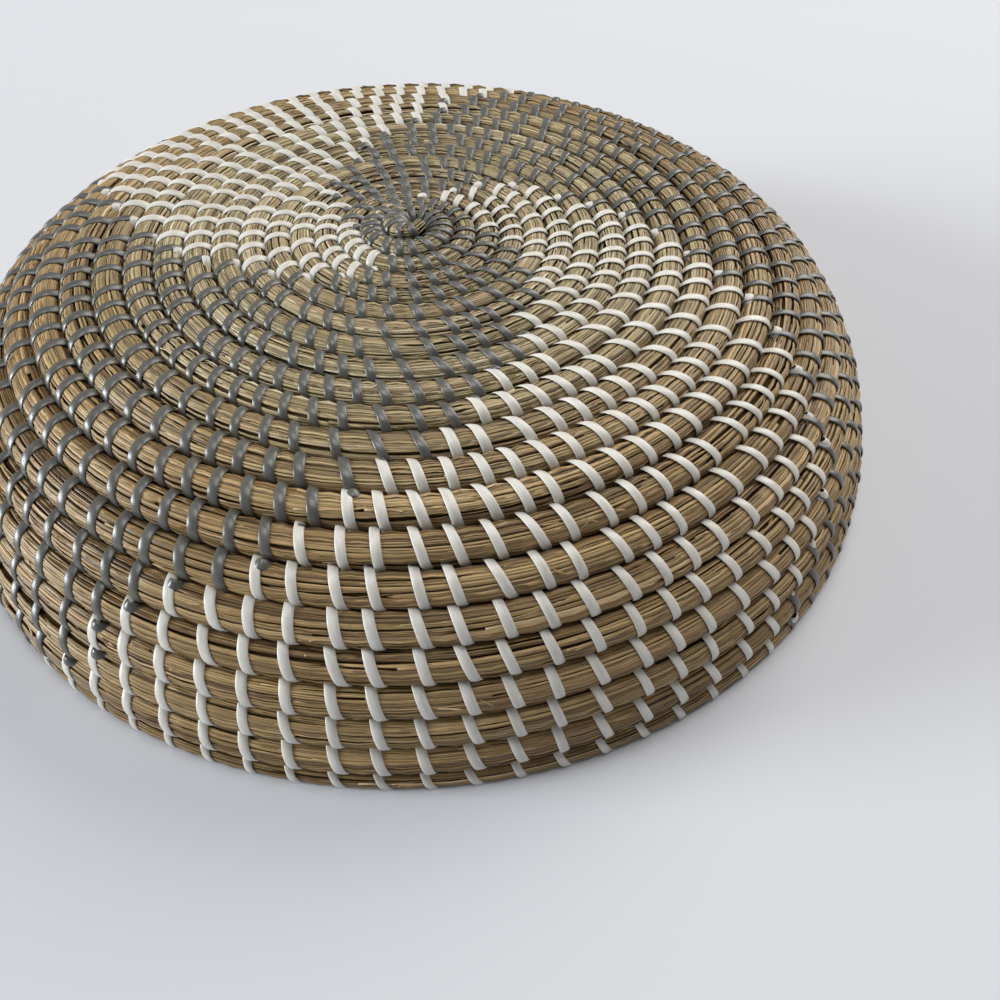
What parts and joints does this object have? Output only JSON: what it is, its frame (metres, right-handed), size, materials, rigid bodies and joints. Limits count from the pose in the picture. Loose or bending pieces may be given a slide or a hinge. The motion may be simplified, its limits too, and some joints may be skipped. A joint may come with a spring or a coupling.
{
  "type": "coiled grass basket",
  "caption": "Shallow round basket wound from one grass coil and stitched with flat white and grey strips, lying upside down on its rim.",
  "frame": {"origin": "on the basket's axis, at the level of the rim that it rests on", "axes": "+Z along the axis, out of the closed base, so that the basket lies upside down as pictured; -Y faces the picture's viewer"},
  "size_m": [0.3246, 0.3248, 0.0774],
  "materials": {
    "grass": "matte",
    "white_strip": "satin",
    "grey_strip": "satin"
  },
  "bodies": {
    "root": {"base_coil": "grass", "grey_stitch_line_01b": "grey_strip", "grey_stitch_line_02a": "grey_strip", "grey_stitch_line_02c": "grey_strip", "grey_stitch_line_03a": "grey_strip", "grey_stitch_line_04a": "grey_strip", "grey_stitch_line_05a": "grey_strip", "grey_stitch_line_06a": "grey_strip", "grey_stitch_line_07a": "grey_strip", "grey_stitch_line_08b": "grey_strip", "grey_stitch_line_09b": "grey_strip", "grey_stitch_line_10b": "grey_strip", "grey_stitch_line_11b": "grey_strip", "grey_stitch_line_12b": "grey_strip", "grey_stitch_line_13a": "grey_strip", "grey_stitch_line_13c": "grey_strip", "grey_stitch_line_14a": "grey_strip", "grey_stitch_line_14c": "grey_strip", "grey_stitch_line_15a": "grey_strip", "grey_stitch_line_16a": "grey_strip", "grey_stitch_line_17a": "grey_strip", "grey_stitch_line_18a": "grey_strip", "grey_stitch_line_19a": "grey_strip", "grey_stitch_line_20a": "grey_strip", "grey_stitch_line_21b": "grey_strip", "grey_stitch_line_22b": "grey_strip", "grey_stitch_line_23b": "grey_strip", "grey_stitch_line_24b": "grey_strip", "shoulder_coil": "grass", "wall_coil": "grass", "white_stitch_line_01a": "white_strip", "white_stitch_line_02b": "white_strip", "white_stitch_line_03b": "white_strip", "white_stitch_line_04b": "white_strip", "white_stitch_line_05b": "white_strip", "white_stitch_line_06b": "white_strip", "white_stitch_line_07b": "white_strip", "white_stitch_line_08a": "white_strip", "white_stitch_line_08c": "white_strip", "white_stitch_line_09a": "white_strip", "white_stitch_line_10a": "white_strip", "white_stitch_line_11a": "white_strip", "white_stitch_line_12a": "white_strip", "white_stitch_line_13b": "white_strip", "white_stitch_line_14b": "white_strip", "white_stitch_line_15b": "white_strip", "white_stitch_line_16b": "white_strip", "white_stitch_line_17b": "white_strip", "white_stitch_line_18b": "white_strip", "white_stitch_line_19b": "white_strip", "white_stitch_line_21a": "white_strip", "white_stitch_line_22a": "white_strip", "white_stitch_line_23a": "white_strip", "white_stitch_line_24a": "white_strip"}
  },
  "joints": []
}
